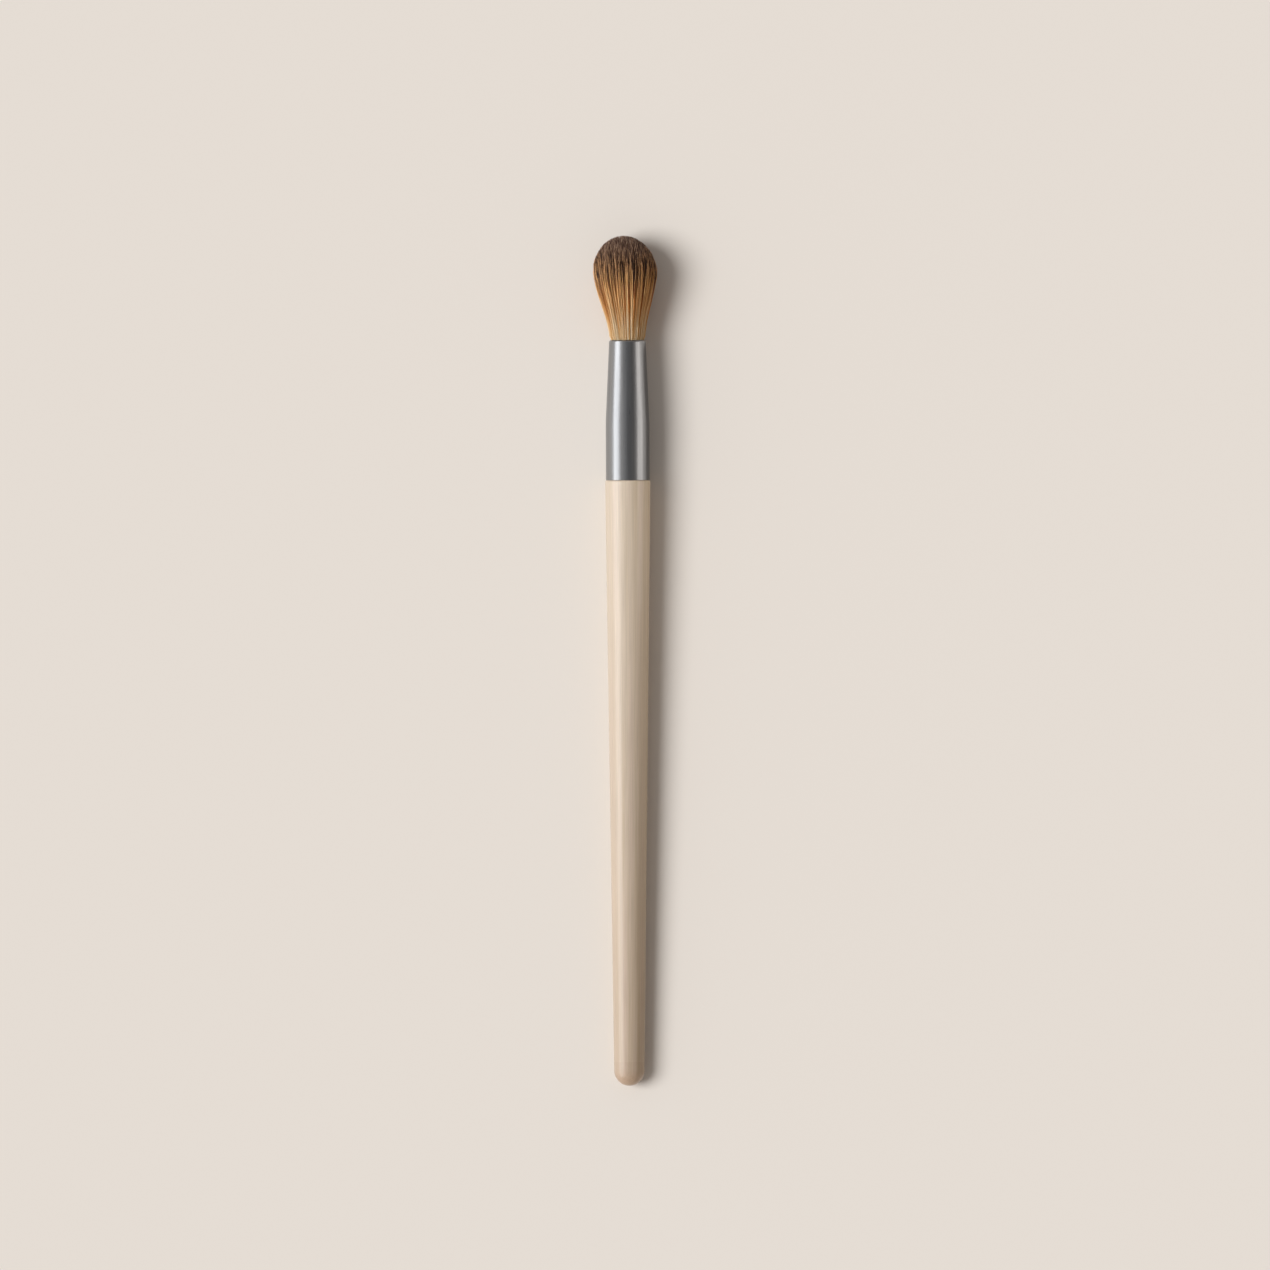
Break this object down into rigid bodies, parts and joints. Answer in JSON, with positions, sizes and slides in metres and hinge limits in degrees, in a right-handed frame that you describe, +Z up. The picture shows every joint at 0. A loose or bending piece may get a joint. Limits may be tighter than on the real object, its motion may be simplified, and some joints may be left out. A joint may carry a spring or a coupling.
{
  "type": "eyeshadow brush",
  "caption": "Round eyeshadow brush: a domed two-tone bristle head in a tapered aluminium ferrule with a rolled lip, on a slim tapering lacquered wooden handle with a round butt.",
  "frame": {"origin": "on the table that the brush lies on, under the middle of its length and of its width", "axes": "+Z up off the table, +Y along the brush from the butt to the bristle tip, +X to its right. The brush rests on the belly of its head and on its butt, so its own axis rises 1.25 degrees towards +Y"},
  "size_m": [0.0126, 0.165, 0.0127],
  "materials": {
    "lacquered_wood": "satin",
    "tenon_adhesive": "matte",
    "ferrule_aluminium": "satin",
    "potting_epoxy": "gloss",
    "filaments": "matte"
  },
  "bodies": {
    "handle_and_ferrule": {"handle": "lacquered_wood", "tenon_glue": "tenon_adhesive", "ferrule": "ferrule_aluminium", "root_plug": "potting_epoxy"},
    "bristle_head": {"center_bristles": "filaments", "inner_bristles": "filaments", "middle_bristles": "filaments", "outer_bristles": "filaments", "edge_bristles": "filaments"}
  },
  "joints": [
    {"name": "bristle_bend", "type": "hinge", "parent": "handle_and_ferrule", "child": "bristle_head", "pos_m": [0, 0.06239, 0.00605], "axis": [0, -0.0218, 0.9998], "range_deg": [-25, 25], "stiffness_Nm_per_rad": 0.006, "deforming": ["center_bristles", "inner_bristles", "middle_bristles", "outer_bristles", "edge_bristles"]}
  ]
}
